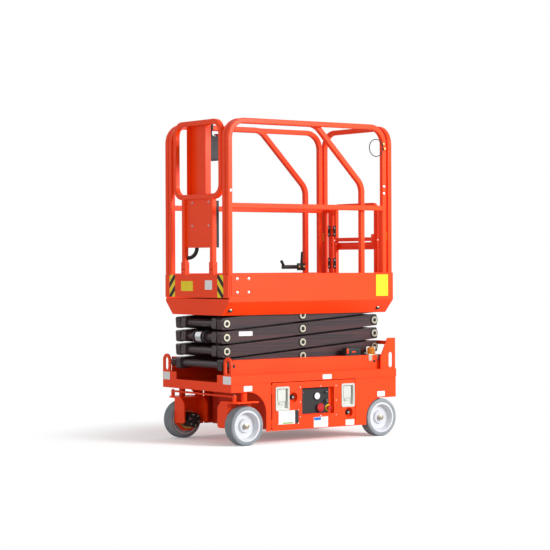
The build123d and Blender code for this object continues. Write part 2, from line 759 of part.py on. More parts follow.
# Extension deck: floor on the main floor, front toe panel, leg stubs
def extension_deck():
    body = block((extension_floor_rear_x, platform_x[1]),
                 (-extension_floor_half, extension_floor_half),
                 (extension_floor_top - floor_sheet, extension_floor_top))
    panel_y = (-platform_half_width + 2, platform_half_width - 2)
    body += block((platform_x[1] - toe_sheet, platform_x[1]), panel_y,
                  (extension_floor_top - floor_sheet, toe_top - 5))
    body += block((platform_x[1] - toe_flange, platform_x[1]),
                  (-extension_rail_y - rail_tube / 2, extension_rail_y + rail_tube / 2),
                  (toe_top - 5 - toe_sheet, toe_top - 5))
    for side in (-1, 1):
        pad_y = sorted((side * (extension_floor_half - 40), side * (extension_floor_half - 10)))
        body += block((extension_floor_rear_x, extension_floor_rear_x + 300), pad_y,
                      (floor_top + 0.3, extension_floor_top - floor_sheet))
        body += block((front_rail_x - 16, front_rail_x + 16),
                      (side * front_leg_y - 16, side * front_leg_y + 16),
                      (extension_floor_top, fold_pin_z - 30))
        for ear in (-1, 1):
            ear_y = sorted((side * front_leg_y + ear * 16.3, side * front_leg_y + ear * 22.3))
            body += block((front_rail_x - 16, front_rail_x + 16), ear_y,
                          (fold_pin_z - 90, fold_pin_z + 20))
            weld_y = sorted((side * front_leg_y + ear * 15, side * front_leg_y + ear * 17))
            body += block((front_rail_x - 16, front_rail_x + 16), weld_y,
                          (fold_pin_z - 90, fold_pin_z - 31))
        body += rod_y(5, front_rail_x, fold_pin_z,
                      (side * front_leg_y - 24, side * front_leg_y + 24))
    return body


# Folding front rail: loop, legs, lower sheet, tower, console, black box
def front_rail():
    half = front_loop_half - rail_tube / 2
    low = front_loop_bottom + rail_tube / 2
    top = rail_centre_top
    x = front_rail_x
    loop = tube([(x, 0, low), (x, half, low), (x, half, top), (x, -half, top), (x, -half, low),
                 (x, -1, low)], [front_loop_bend] * 4, (1, 0, 0))
    loop += straight_tube((x, -2, low), (x, 1, low), (1, 0, 0))
    for side in (-1, 1):
        leg = straight_tube((x, side * front_leg_y, fold_pin_z - 25),
                            (x, side * front_leg_y, low), (1, 0, 0))
        leg -= rod_y(5.2, x, fold_pin_z, (side * front_leg_y - 20, side * front_leg_y + 20))
        loop += leg
    return loop


def front_panel():
    x = front_rail_x
    return block((x - 2, x + 2), (-panel_half, panel_half), (panel_bottom, front_loop_bottom))


def tower():
    x_web = front_rail_x - 16
    body = block((x_web - tower_sheet, x_web), (-tower_half, tower_half),
                 (front_loop_bottom + 4, rail_top - 4))
    for side in (-1, 1):
        y = sorted((side * tower_half, side * (tower_half - tower_sheet)))
        body += block((x_web - tower_sheet, x_web + 35), y,
                      (front_loop_bottom + rail_tube + 0.3, rail_top - rail_tube - 0.3))
    return body


def cable_box():
    x = front_rail_x - 2
    return block((x - cable_box_depth, x), (-panel_half + 12, panel_half - 12),
                 (panel_bottom, front_loop_bottom - 10))


def console():
    x = front_rail_x - 16 - tower_sheet
    return block((x - console_depth, x), (-console_half, console_half),
                 (console_bottom, console_top))


def foot_lever():
    body = block((-60, 0), (60, 100), (extension_floor_top, extension_floor_top + 30))
    body += block((-35, -25), (75, 85), (extension_floor_top + 30, extension_floor_top + 90))
    return body


def warning_light():
    body = block((-390, -330), (290, 330), (slide_top, slide_top + 8))
    body += rod_z(22, -360, 310, (slide_top + 8, slide_top + 50))
    return body


save(base_frame(), "base_frame")
save(upper_frame(), "upper_frame")
plates = [*side_plates()]
save(Compound(children=[s for p in plates for s in (*p.solids(), *mirrored(p).solids())]),
     "side_plates")
save(front_channel(), "front_channel")
save(rear_frame(), "rear_frame")
save(warning_light(), "warning_light")
save(door(), "door_left")
save(mirrored(door()), "door_right")
save(tray_load(300), "power_unit")
save(mirrored(tray_load(330)), "battery_pack")
save(knuckle(), "knuckle_left")
save(mirrored(knuckle()), "knuckle_right")
save(drive_motor(), "drive_motor_left")
save(mirrored(drive_motor()), "drive_motor_right")
save(tie_bar(), "tie_bar")
for name, wheel_x, wheel_side in (("front_left", front_axle_x, 1), ("front_right", front_axle_x, -1),
                                  ("rear_left", rear_axle_x, 1), ("rear_right", rear_axle_x, -1)):
    save(tyre(wheel_x, wheel_side), f"tyre_{name}")
    save(rim(wheel_x, wheel_side), f"rim_{name}")
for number in range(1, stages + 1):
    save(inner_frame(number), f"inner_frame_{number}")
    save(outer_arms(number), f"outer_arms_{number}")
    save(stage_pins(number), f"pins_{number}")
save(lift_barrel(), "lift_barrel")
save(lift_rod(), "lift_rod")
save(platform_frame(), "platform_frame")
save(both(main_side_rail()), "side_rails")
save(rear_rail(), "rear_rail")
save(gate(), "gate")
save(extension_deck(), "extension_deck")
save(both(extension_side_rail()), "extension_rails")
save(front_rail(), "front_rail")
save(front_panel(), "front_panel")
save(tower(), "tower")
save(cable_box(), "cable_box")
save(console(), "console")
save(foot_lever(), "foot_lever")
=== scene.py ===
# %% [markdown]
# # A compact orange scissor lift, dressed for its portrait
#
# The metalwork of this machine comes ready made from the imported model: every frame, arm, rail and wheel is
# already at its real size. This lesson adds what a maker adds last: paint, plating, rubber, bolts, latches,
# labels without words, lamps, and the light and camera of a studio.
#
# Loading the frame comes first, because every later step asks it where things are.

# %% Load the machine
import json
import math

import bmesh
import bpy
from mathutils import Matrix, Vector


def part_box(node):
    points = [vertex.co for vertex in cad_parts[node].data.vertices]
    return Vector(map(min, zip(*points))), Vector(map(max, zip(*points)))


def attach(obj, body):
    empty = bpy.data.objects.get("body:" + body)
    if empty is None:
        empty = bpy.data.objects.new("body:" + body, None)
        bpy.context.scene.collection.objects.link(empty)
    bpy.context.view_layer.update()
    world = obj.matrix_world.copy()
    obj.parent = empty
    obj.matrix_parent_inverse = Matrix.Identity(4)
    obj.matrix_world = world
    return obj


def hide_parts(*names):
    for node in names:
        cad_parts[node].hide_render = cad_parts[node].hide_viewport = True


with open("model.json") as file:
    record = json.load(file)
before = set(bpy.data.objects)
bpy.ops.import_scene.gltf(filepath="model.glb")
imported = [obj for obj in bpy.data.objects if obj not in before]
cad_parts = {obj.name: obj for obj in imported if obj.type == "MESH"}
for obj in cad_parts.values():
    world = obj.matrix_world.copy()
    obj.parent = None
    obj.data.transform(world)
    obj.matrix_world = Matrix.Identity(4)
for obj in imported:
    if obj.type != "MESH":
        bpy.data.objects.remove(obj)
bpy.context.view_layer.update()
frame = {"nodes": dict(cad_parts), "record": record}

slot_of = {piece["node"]: piece["material_slot"] for piece in frame["record"]["subparts"]}

# %% [markdown]
# ## The camera
#
# The portrait was taken with a long lens from about twelve metres away, at the height of a person's
# waist, looking at the machine's front left corner. A camera can be aimed with a Track To
# constraint, but here the lens also leans by a fraction of a degree, so the three directions of the view are
# worked out and written straight into the camera's matrix.

# %% Place the camera
def place_object(name, data):
    """A new object in the scene for a camera, a lamp, a mesh or a curve."""
    made = bpy.data.objects.new(name, data)
    bpy.context.scene.collection.objects.link(made)
    return made


camera_distance = 11.91
camera_azimuth = math.radians(36.5)
camera_height = 1.107
camera_yaw = math.radians(-0.155)
camera_pitch = math.radians(0.341)
camera_roll = math.radians(-0.207)
lens_in_pixels = 1856.0
picture_side = 550.0

up = Vector((0, 0, 1))
heading = camera_azimuth + camera_yaw
level_forward = Vector((-math.sin(heading), -math.cos(heading), 0))
right = level_forward.cross(up)
forward = level_forward * math.cos(camera_pitch) - up * math.sin(camera_pitch)
view_up = up * math.cos(camera_pitch) + level_forward * math.sin(camera_pitch)
rolled_right = right * math.cos(camera_roll) + view_up * math.sin(camera_roll)
rolled_up = view_up * math.cos(camera_roll) - right * math.sin(camera_roll)

camera_data = bpy.data.cameras.new("portrait_camera")
camera_data.sensor_width = 36.0
camera_data.lens = lens_in_pixels / picture_side * camera_data.sensor_width
camera_data.clip_end = 100.0
camera = place_object("portrait_camera", camera_data)
turn = Matrix((rolled_right, rolled_up, -forward)).transposed().to_4x4()
place = Vector((math.sin(camera_azimuth), math.cos(camera_azimuth), 0)) * camera_distance
place.z = camera_height
camera.matrix_world = Matrix.Translation(place) @ turn
bpy.context.scene.camera = camera
print("camera at", [round(v, 3) for v in place], "lens", round(camera_data.lens, 1), "mm")

# %% [markdown]
# ## The studio
#
# A seamless white floor and a bright, even surround give soft shadows. The world node tells camera rays and
# mirror reflections to see plain white, while the light that falls on the paint is a milder grey, so the
# colours keep their depth. A large soft lamp on the machine's left makes its long side the brightest, as in
# a photographer's studio with one big window, and a weak one in front fills the shadows.
#
# Light and paint are both networks of shader nodes, so three helpers come first: one adds a node with its
# settings filled in, one adds a step of arithmetic, and one blends two shaders.

# %% Light the studio
def add_node(tree, kind, inputs=None, **settings):
    """A shader node with its settings and some inputs, by name or number, filled in."""
    made = tree.nodes.new("ShaderNode" + kind)
    for name, value in settings.items():
        setattr(made, name, value)
    for name, value in (inputs or {}).items():
        made.inputs[name].default_value = value
    return made


def reckon(tree, operation, first, second=None):
    """One step of arithmetic. The second value may be a number or another node's output."""
    step = add_node(tree, "Math", operation=operation)
    tree.links.new(first, step.inputs[0])
    if isinstance(second, float):
        step.inputs[1].default_value = second
    elif second is not None:
        tree.links.new(second, step.inputs[1])
    return step.outputs[0]


def blend(tree, amount, first, second):
    """Two shaders mixed: an amount of 0 is the first one, 1 the second."""
    mix = add_node(tree, "MixShader")
    for socket, source in zip(mix.inputs, (amount, first, second)):
        tree.links.new(source, socket)
    return mix.outputs[0]


def soft_lamp(name, position, target, width, power):
    data = bpy.data.lights.new(name, "AREA")
    data.shape = "DISK"
    data.size = width
    data.energy = power
    lamp = place_object(name, data)
    aim = Vector(target) - Vector(position)
    lamp.matrix_world = Matrix.Translation(position) @ aim.to_track_quat("-Z", "Y").to_matrix().to_4x4()


scene = bpy.context.scene
scene.view_settings.view_transform = "Standard"

white = (1, 1, 1, 1)
surround_light = 0.56
world = bpy.data.worlds.new("studio")
world.use_nodes = True
scene.world = world
tree = world.node_tree
link = tree.links.new
tree.nodes.clear()
rays = add_node(tree, "LightPath").outputs
seen = reckon(tree, "MAXIMUM", rays["Is Camera Ray"], rays["Is Glossy Ray"])
seen_or_through = reckon(tree, "MAXIMUM", seen, rays["Is Transmission Ray"])
dim = add_node(tree, "Background", {"Color": white, "Strength": surround_light})
bright = add_node(tree, "Background", {"Color": white, "Strength": 1.0})
sky = add_node(tree, "OutputWorld")
link(blend(tree, seen_or_through, dim.outputs[0], bright.outputs[0]), sky.inputs["Surface"])

machine_middle = (0.0, 0.0, 1.0)
lamp_width = 3.0
soft_lamp("left_window", (-2.6, 6.5, 3.4), machine_middle, lamp_width, 560.0)
soft_lamp("front_fill", (6.0, 2.0, 2.0), machine_middle, lamp_width, 45.0)
print("three sources of light: the surround, the left window and the front fill")

# %% [markdown]
# ## The floor
#
# The floor is a wide disc with two looks. Close to the machine it is a matt surface that glows a little, and
# that part catches the soft shadow. Further out it glows plain white, so no horizon shows. One could hide the
# edge with a curved backdrop instead, but a distance measured from the machine works from every side: the
# length of the floor's own coordinates goes through a Map Range node and blends the two. Only the camera
# sees those two looks. Every other ray meets a plain pale grey.

# %% Lay the floor
floor_radius = 40.0
floor_sides = 96
floor_drop = 0.001
floor_glow = 0.2
shadow_reach = (0.85, 1.7)
matt_white = (0.95, 0.95, 0.95, 1)
pale_grey = (0.7, 0.7, 0.7, 1)

mesh = bpy.data.meshes.new("studio_floor")
disc = bmesh.new()
bmesh.ops.create_circle(disc, cap_ends=True, radius=floor_radius, segments=floor_sides)
disc.to_mesh(mesh)
disc.free()
floor = place_object("studio_floor", mesh)
floor.location.z = -floor_drop

studio_white = bpy.data.materials.new("studio_white")
studio_white.use_nodes = True
tree = studio_white.node_tree
link = tree.links.new
tree.nodes.clear()
matt = add_node(tree, "BsdfDiffuse", {"Color": matt_white})
glow = add_node(tree, "Emission", {"Color": white, "Strength": floor_glow})
near_white = add_node(tree, "AddShader")
link(matt.outputs[0], near_white.inputs[0])
link(glow.outputs[0], near_white.inputs[1])
far_white = add_node(tree, "Emission", {"Color": white, "Strength": 1.0})
spot = add_node(tree, "TexCoord")
away = add_node(tree, "VectorMath", operation="LENGTH")
fade = add_node(tree, "MapRange", {"From Min": shadow_reach[0], "From Max": shadow_reach[1]},
                interpolation_type="SMOOTHSTEP")
link(spot.outputs["Object"], away.inputs[0])
link(away.outputs["Value"], fade.inputs["Value"])
near_or_far = blend(tree, fade.outputs["Result"], near_white.outputs[0], far_white.outputs[0])
plain = add_node(tree, "BsdfDiffuse", {"Color": pale_grey})
rays = add_node(tree, "LightPath").outputs
choose = blend(tree, rays["Is Camera Ray"], plain.outputs[0], near_or_far)
out = add_node(tree, "OutputMaterial")
link(choose, out.inputs["Surface"])
floor.data.materials.append(studio_white)
print("floor", floor_radius * 2, "m across")

# %% [markdown]
# ## Finishes
#
# Most of the machine is powder-coated steel. Powder coat is smooth but not a mirror: it has a fine
# orange-peel ripple and its gloss drifts a little from place to place. All of that can come from noise
# textures: one large, faint noise moves the colour, a second one moves the gloss, and a very fine one feeds
# a Bump node. One helper builds this recipe, and each finish is one call with its own numbers, so the paint
# on fifty pieces stays the same paint.

# %% Mix the finishes
drift_stops = (0.35, 0.7)
ripple_depth = 0.0004
coat_roughness = 0.12
specular_level = 0.22
amber_clearness = 0.55
rubber = {"colour": (0.235, 0.26, 0.285), "tint": (0.30, 0.325, 0.345), "gloss": (0.72, 0.9),
          "patch": 14.0, "grain": 350.0, "ripple": 0.3}
yellow_vinyl = {"colour": (0.86, 0.66, 0.02), "tint": (0.80, 0.60, 0.02), "gloss": (0.3, 0.42),
                "patch": 30.0}


def noise(tree, spot, scale, detail):
    texture = add_node(tree, "TexNoise", {"Scale": scale, "Detail": detail})
    tree.links.new(spot.outputs["Object"], texture.inputs["Vector"])
    return texture


def finish(name, colour, tint, gloss, metallic=0.0, patch=3.0, grain=900.0, ripple=0.04, coat=0.0,
           stretch=None):
    """A coated or bare surface: colour drifting to tint, roughness between the two gloss values.

    stretch scales the colour noise along X, Y and Z, which draws it out into streaks.
    """
    material = bpy.data.materials.new(name)
    material.use_nodes = True
    tree = material.node_tree
    link = tree.links.new
    shader = tree.nodes["Principled BSDF"]
    spot = add_node(tree, "TexCoord")
    clouds = noise(tree, spot, patch, 4.0)
    if stretch:
        squeeze = add_node(tree, "Mapping", {"Scale": stretch})
        link(spot.outputs["Object"], squeeze.inputs["Vector"])
        link(squeeze.outputs["Vector"], clouds.inputs["Vector"])
    ramp = add_node(tree, "ValToRGB")
    for stop, position, shade in zip(ramp.color_ramp.elements, drift_stops, (colour, tint)):
        stop.position = position
        stop.color = (*shade, 1)
    link(clouds.outputs["Fac"], ramp.inputs["Fac"])
    link(ramp.outputs["Color"], shader.inputs["Base Color"])
    drift = noise(tree, spot, patch * 5, 3.0)
    dull = add_node(tree, "MapRange", {"To Min": gloss[0], "To Max": gloss[1]})
    link(drift.outputs["Fac"], dull.inputs["Value"])
    link(dull.outputs["Result"], shader.inputs["Roughness"])
    fine = noise(tree, spot, grain, 2.0)
    bump = add_node(tree, "Bump", {"Strength": ripple, "Distance": ripple_depth})
    link(fine.outputs["Fac"], bump.inputs["Height"])
    link(bump.outputs["Normal"], shader.inputs["Normal"])
    for socket, value in (("Metallic", metallic), ("Coat Weight", coat), ("Coat Roughness", coat_roughness),
                          ("Specular IOR Level", specular_level)):
        shader.inputs[socket].default_value = value
    return material


finishes = {
    "orange": finish("orange_powder_coat", (0.95, 0.056, 0.002), (0.89, 0.047, 0.002), (0.36, 0.48),
                     coat=0.04),
    # The dark arm paint drifts in long streaks towards a reddish tint: painted sheen, a reflection laid into
    # the colour.
    "arm": finish("dark_arm_paint_with_painted_sheen", (0.026, 0.026, 0.030), (0.085, 0.038, 0.040), (0.26, 0.4), coat=0.2,
                  stretch=(0.5, 8.0, 34.0)),
    "zinc": finish("yellow_zinc_plate", (0.46, 0.44, 0.37), (0.54, 0.49, 0.35), (0.26, 0.42), 0.95, 20.0),
    "black": finish("satin_black_paint", (0.012, 0.012, 0.013), (0.02, 0.02, 0.021), (0.35, 0.5)),
    "chrome": finish("hard_chrome_rod", (0.72, 0.73, 0.75), (0.66, 0.67, 0.70), (0.06, 0.14), 1.0),
    "console": finish("black_moulding", (0.02, 0.021, 0.022), (0.03, 0.03, 0.032), (0.42, 0.6),
                      ripple=0.25, grain=500.0),
    "tyre": finish("grey_tyre_rubber", **rubber),
    "rim": finish("silver_rim_paint", (0.66, 0.68, 0.71), (0.58, 0.60, 0.64), (0.34, 0.5), 0.25),
    "amber": finish("amber_lens", (0.95, 0.34, 0.02), (0.9, 0.28, 0.015), (0.08, 0.16)),
    "label": finish("white_label", (0.80, 0.80, 0.79), (0.72, 0.72, 0.71), (0.3, 0.42), patch=30.0),
    "yellow": finish("yellow_label", **yellow_vinyl),
    "blue": finish("blue_print", (0.02, 0.16, 0.55), (0.02, 0.14, 0.5), (0.3, 0.42), patch=30.0),
    "green": finish("green_print", (0.22, 0.45, 0.12), (0.2, 0.4, 0.1), (0.3, 0.42), patch=30.0),
    "red": finish("red_plastic", (0.52, 0.008, 0.012), (0.44, 0.006, 0.01), (0.16, 0.28), coat=0.4),
    "brass": finish("brass_bush", (0.62, 0.40, 0.13), (0.50, 0.30, 0.10), (0.3, 0.5), 1.0, 30.0),
    "steel": finish("bright_steel", (0.60, 0.62, 0.62), (0.50, 0.52, 0.52), (0.22, 0.38), 1.0, 25.0),
    "latch": finish("pale_latch_plate", (0.60, 0.63, 0.58), (0.66, 0.68, 0.62), (0.26, 0.4), 0.55, 18.0),
}
amber_shader = finishes["amber"].node_tree.nodes["Principled BSDF"]
amber_shader.inputs["Transmission Weight"].default_value = amber_clearness

for node, piece in frame["nodes"].items():
    piece.data.materials.clear()
    piece.data.materials.append(finishes[slot_of[node]])
print(len(finishes), "finishes on", len(frame["nodes"]), "nodes")

# %% [markdown]
# ## The striped corners
#
# The front panel of the platform carries yellow and black warning stripes that lean towards each other. They
# could be cut as strips of vinyl, but a stripe is only a rule about place: add the height to the distance
# from the middle, divide by the pitch, and look at the remainder. The absolute value of Y mirrors the two
# sides.

# %% Mix the stripes
stripe_pitch = 0.076
stripe_black = (0.012, 0.012, 0.012, 1)


def warning_stripes():
    material = finish("warning_stripes", **yellow_vinyl)
    tree = material.node_tree
    link = tree.links.new
    shader = tree.nodes["Principled BSDF"]
    yellow = shader.inputs["Base Color"].links[0].from_socket
    spot = add_node(tree, "TexCoord")
    axes = add_node(tree, "SeparateXYZ")
    link(spot.outputs["Object"], axes.inputs[0])
    lean = reckon(tree, "ADD", reckon(tree, "ABSOLUTE", axes.outputs["Y"]), axes.outputs["Z"])
    remainder = reckon(tree, "FRACT", reckon(tree, "MULTIPLY", lean, 1.0 / stripe_pitch))
    is_black = reckon(tree, "GREATER_THAN", remainder, 0.5)
    black_or_yellow = add_node(tree, "Mix", {"B": stripe_black}, data_type="RGBA")
    link(is_black, black_or_yellow.inputs["Factor"])
    link(yellow, black_or_yellow.inputs["A"])
    link(black_or_yellow.outputs["Result"], shader.inputs["Base Color"])
    return material


finishes["stripes"] = warning_stripes()
print("stripes", stripe_pitch, "m apart")

# %% [markdown]
# ## A small workshop of shapes
#
# Bolts, plates, knobs and latches come back many times, so the lesson sets up seven tools once: a brick with
# soft edges, a round bar, a lathe that spins a profile, a plate and a frame with round corners, a bolt and a
# rivet. Each adds its faces to a mesh that is being built. When a piece is complete, ship() turns it into
# an object, gives it its finish and lets it ride on the part of the machine that carries it.

# %% Set up the workshop
sharp_edge = math.radians(35)
weld_distance = 0.00002
to_front, to_left, to_top = (1, 0, 0), (0, 1, 0), (0, 0, 1)

def soften(mesh, edges, width):
    bmesh.ops.bevel(mesh, geom=list(dict.fromkeys(edges)), offset=width, segments=2, affect="EDGES",
                    profile=0.5)


def brick(mesh, low, high, edge=0.0008):
    """A block with soft edges, from its lowest to its highest corner."""
    size = Vector(high) - Vector(low)
    middle = Matrix.Translation((Vector(high) + Vector(low)) / 2)
    made = bmesh.ops.create_cube(mesh, size=1.0, matrix=middle @ Matrix.Diagonal((*size, 1)))
    soften(mesh, [side for corner in made["verts"] for side in corner.link_edges], min(edge, min(size) * 0.3))


def round_bar(mesh, start, end, radius, tip=None, sides=32, edge=0.0006):
    """A round or many-sided bar between two points, tapered to tip if that is given."""
    start, end = Vector(start), Vector(end)
    along = end - start
    turn = along.to_track_quat("Z", "Y").to_matrix().to_4x4()
    made = bmesh.ops.create_cone(mesh, cap_ends=True, segments=sides, radius1=radius,
                                 radius2=radius if tip is None else tip, depth=along.length,
                                 matrix=Matrix.Translation((start + end) / 2) @ turn)
    around = [side for corner in made["verts"] for side in corner.link_edges]
    rims = [side for side in around if any(len(face.verts) > 4 for face in side.link_faces)]
    soften(mesh, rims, min(edge, radius * 0.25, along.length * 0.25))


def turned(mesh, middle, axis, profile, sides=40):
    """Spin a profile of (radius, height) pairs about an axis, as on a lathe."""
    turn = Vector(axis).to_track_quat("Z", "Y").to_matrix()
    rings = []
    for radius, height in profile:
        count = sides if radius > 0 else 1
        angles = [2 * math.pi * step / sides for step in range(count)]
        rings.append([mesh.verts.new(Vector(middle) + turn @ Vector(
            (radius * math.cos(a), radius * math.sin(a), height))) for a in angles])
    for lower, upper in zip(rings, rings[1:]):
        for step in range(sides):
            after = (step + 1) % sides
            corners = [lower[step % len(lower)], lower[after % len(lower)],
                       upper[after % len(upper)], upper[step % len(upper)]]
            mesh.faces.new(list(dict.fromkeys(corners)))


def round_outline(mesh, axis, middle, size, corner, depth):
    """The corner points of a rounded rectangle square to X or Y, five to each corner."""
    points = []
    for quarter in range(4):
        across = (size[0] / 2 - corner) * (1 if quarter in (0, 3) else -1)
        upward = (size[1] / 2 - corner) * (1 if quarter in (0, 1) else -1)
        for step in range(5):
            a = (quarter + step / 4) * math.pi / 2
            u = middle[0] + across + corner * math.cos(a)
            w = middle[1] + upward + corner * math.sin(a)
            points.append(mesh.verts.new((depth, u, w) if axis == "X" else (u, depth, w)))
    return points


def bridge(mesh, first, second):
    for step in range(len(first)):
        after = (step + 1) % len(first)
        mesh.faces.new((first[step], first[after], second[after], second[step]))


def rounded_plate(mesh, axis, middle, size, corner, span):
    back = round_outline(mesh, axis, middle, size, corner, span[0])
    front = round_outline(mesh, axis, middle, size, corner, span[1])
    bridge(mesh, back, front)
    mesh.faces.new(back)
    mesh.faces.new(front)


def rounded_frame(mesh, axis, middle, size, wall, corner, span):
    """A rounded plate with a hole, wall wide all round."""
    inside = (size[0] - 2 * wall, size[1] - 2 * wall)
    inner_corner = max(corner - wall, 0.0015)
    loops = [round_outline(mesh, axis, middle, outline, bend, depth)
             for outline, bend, depth in ((size, corner, span[0]), (size, corner, span[1]),
                                          (inside, inner_corner, span[1]), (inside, inner_corner, span[0]))]
    for first, second in zip(loops, loops[1:] + loops[:1]):
        bridge(mesh, first, second)


def bolt(mesh, place, out, size):
    """A hexagon head on its washer, size wide across the flats."""
    place, out = Vector(place), Vector(out)
    washer_top = place + out * size * 0.14
    round_bar(mesh, place, washer_top, size * 0.85)
    round_bar(mesh, washer_top, washer_top + out * size * 0.5, size * 0.56, sides=6)


def rivet(mesh, place, out, size):
    turned(mesh, place, out, ((0.0, 0.0), (size, 0.0), (size * 0.9, size * 0.3), (size * 0.5, size * 0.48),
                              (0.0, size * 0.55)), sides=20)


def ship(mesh, name, finish_name, body):
    bmesh.ops.recalc_face_normals(mesh, faces=mesh.faces)
    data = bpy.data.meshes.new(name)
    mesh.to_mesh(data)
    mesh.free()
    data.shade_smooth()
    data.set_sharp_from_angle(angle=sharp_edge)
    data.materials.append(finishes[finish_name])
    item = place_object(name, data)
    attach(item, body)
    return item


print("tools ready: brick, bar, lathe, plate, frame, bolt and rivet")

# %% [markdown]
# ## The control side: the near door
#
# On the near door the maker pressed a recess for the controls, two round cups for plugs and keys, and two
# pockets for the latches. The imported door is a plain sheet. One could lay dark shapes on it, but a recess
# that is only painted looks flat from the side, so the door's own mesh is copied, the holes are cut through
# the copy with Boolean modifiers, and a pan is set behind each hole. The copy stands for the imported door.

# %% Cut the near door
skin_inset = 0.004
skin_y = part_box("side_plates")[1][1] - skin_inset
door_rear_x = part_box("door_left")[0][0]
recess_depth = 0.026
pan_back = skin_y - recess_depth
panel_middle, panel_size, panel_corner = (-0.016, 0.2505), (0.253, 0.169), 0.006
latch_size = (0.106, 0.149)
latch_wall = 0.012
latch_middles = ((0.263, 0.275), (door_rear_x + 0.056, 0.275))
latch_hole = (latch_size[0] - 2 * latch_wall, latch_size[1] - 2 * latch_wall)
cup_radius = 0.031
cup_middles = ((0.177, 0.280), (-0.262, 0.165))


def weld(data):
    mesh = bmesh.new()
    mesh.from_mesh(data)
    bmesh.ops.remove_doubles(mesh, verts=mesh.verts, dist=weld_distance)
    bmesh.ops.recalc_face_normals(mesh, faces=mesh.faces)
    mesh.to_mesh(data)
    mesh.free()


def cut_copy(node, name, cutter_mesh):
    """A copy of a node's mesh with the cutter's solids taken out of it."""
    data = frame["nodes"][node].data.copy()
    weld(data)
    target = place_object(name, data)
    cutter_data = bpy.data.meshes.new("cutter")
    bmesh.ops.recalc_face_normals(cutter_mesh, faces=cutter_mesh.faces)
    cutter_mesh.to_mesh(cutter_data)
    cutter_mesh.free()
    cutter = place_object("cutter", cutter_data)
    cut = target.modifiers.new("cut", "BOOLEAN")
    cut.operation = "DIFFERENCE"
    cut.solver = "EXACT"
    cut.object = cutter
    depsgraph = bpy.context.evaluated_depsgraph_get()
    result = bpy.data.meshes.new_from_object(target.evaluated_get(depsgraph))
    target.modifiers.clear()
    target.data = result
    result.name = name
    bpy.data.objects.remove(cutter)
    result.shade_smooth()
    result.set_sharp_from_angle(angle=sharp_edge)
    result.materials.clear()
    result.materials.append(finishes[slot_of[node]])
    return target


holes = bmesh.new()
through = (skin_y - 0.015, skin_y + 0.01)
cut_depth = through[1] - through[0]
rounded_plate(holes, "Y", panel_middle, panel_size, panel_corner, through)
for middle in latch_middles:
    rounded_plate(holes, "Y", middle, latch_hole, 0.008, through)
for x, z in cup_middles:
    turned(holes, (x, through[0], z), to_left, ((0.0, 0.0), (cup_radius, 0.0), (cup_radius, cut_depth),
                                                (0.0, cut_depth)))
door_skin = cut_copy("door_left", "door_skin_left", holes)
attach(door_skin, "door_left")
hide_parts("door_left")
print("near door cut:", len(door_skin.data.polygons), "faces")

# %% [markdown]
# ## Pans behind the holes
#
# A hole needs a back. A folded pan closes the recess and a pressed cup closes each round hole. In every cup
# sits a black plug with a bright face. The latches bring trays of their own.

# %% Set the pans behind the holes
pan_wall = 0.002
cup_rim = cup_radius + pan_wall
cup_profile = ((0.0, -pan_wall), (cup_radius * 0.8, -pan_wall), (cup_rim, 0.008), (cup_rim, 0.025),
               (cup_radius, 0.025), (cup_radius, 0.009), (cup_radius * 0.78, 0.0), (0.0, 0.0))
plug_height = 0.019
plug_profile = ((0.0, 0.0), (0.016, 0.0), (0.016, 0.010), (0.013, 0.012), (0.013, plug_height),
                (0.0, plug_height))
plug_face_profile = ((0.0, 0.0), (0.007, 0.0), (0.006, 0.003), (0.0, 0.003))
pans, plugs, plug_faces = bmesh.new(), bmesh.new(), bmesh.new()
rounded_frame(pans, "Y", panel_middle, [v + 2 * pan_wall for v in panel_size], pan_wall, 0.008,
              (pan_back, skin_y - 0.001))
rounded_plate(pans, "Y", panel_middle, panel_size, panel_corner, (pan_back - pan_wall, pan_back))
for x, z in cup_middles:
    turned(pans, (x, pan_back, z), to_left, cup_profile)
    turned(plugs, (x, pan_back, z), to_left, plug_profile)
    turned(plug_faces, (x, pan_back + plug_height, z), to_left, plug_face_profile, sides=24)
ship(pans, "door_pans_left", "orange", "door_left")
ship(plugs, "door_plugs_left", "black", "door_left")
ship(plug_faces, "door_plug_faces_left", "steel", "door_left")
print("pans behind", len(cup_middles) + 1, "holes, plugs in", len(cup_middles))

# %% [markdown]
# ## The latches
#
# Each latch is a pressed, plated tray with a paddle that a hand pulls out. The rim lies on the door and the
# tray sinks behind it. Both doors have the same latch, so one function makes it for either side: a side of
# 1 is the near door and -1 the far one. The far door has no holes, so there the tray stays shallow and the
# paddle lies on top.

# %% Press the latches
latch_corner, tray_corner = 0.012, 0.006
latch_rims = ((latch_wall, 0.0030), (0.004, 0.0045))
tray_thickness, tray_wall = 0.0012, 0.0015
deep_tray = (0.016, 0.006, 0.004)
shallow_tray = (-0.0006, 0.0006, 0.0022)
paddle_plates = ((0.020, (0.060, 0.074), 0.004), (-0.030, (0.036, 0.008), 0.003))


def latch(mesh, middle, side, tray):
    """One paddle latch. A tray gives its depth, then the paddle's gap above it and its thickness."""
    depth, gap, thickness = tray
    face = side * skin_y
    for wall, height in latch_rims:
        rounded_frame(mesh, "Y", middle, latch_size, wall, latch_corner, sorted((face, face + side * height)))
    tray_y = face - side * depth
    tray_back = tray_y - side * tray_thickness
    rounded_plate(mesh, "Y", middle, latch_hole, tray_corner, sorted((tray_y, tray_back)))
    if tray is deep_tray:
        rounded_frame(mesh, "Y", middle, latch_hole, tray_wall, tray_corner, sorted((tray_y, face)))
    paddle_y = tray_y + side * gap
    paddle = sorted((paddle_y, paddle_y + side * thickness))
    for rise, size, corner in paddle_plates:
        rounded_plate(mesh, "Y", (middle[0], middle[1] + rise), size, corner, paddle)


for side, hand, tray in ((1, "left", deep_tray), (-1, "right", shallow_tray)):
    latches = bmesh.new()
    for middle in latch_middles:
        latch(latches, middle, side, tray)
    ship(latches, f"latches_{hand}", "latch", f"door_{hand}")
print("four latches")

